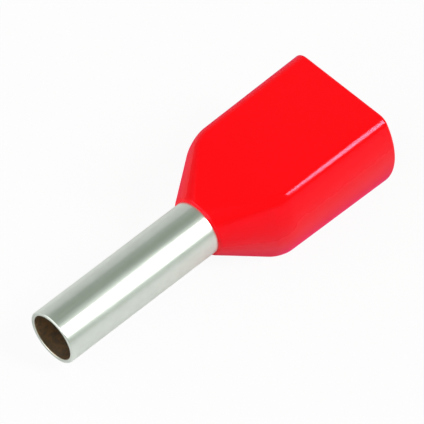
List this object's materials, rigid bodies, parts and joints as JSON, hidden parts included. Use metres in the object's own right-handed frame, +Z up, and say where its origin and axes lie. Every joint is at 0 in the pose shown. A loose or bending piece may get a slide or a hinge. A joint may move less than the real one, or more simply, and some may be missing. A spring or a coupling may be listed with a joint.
{
  "type": "wire ferrule",
  "caption": "Twin wire end ferrule: a thin tinned metal tube, open at its tip, in a flattened plastic collar with a wide open mouth for two insulated wires.",
  "frame": {"origin": "on the surface that the part lies on, below the middle of its length and width", "axes": "+X from the open tip of the tube toward the mouth of the collar, 3.8 degrees off the tube's axis because the part rests tip down; +Y across the wide mouth; +Z up"},
  "size_m": [0.016, 0.006, 0.0042],
  "materials": {
    "tinned_copper": "satin, with a fine grain along the tube",
    "red_plastic": "glossy moulded polypropylene"
  },
  "bodies": {
    "root": {"conductor_tube": "tinned_copper", "insulating_collar": "red_plastic"}
  },
  "joints": []
}
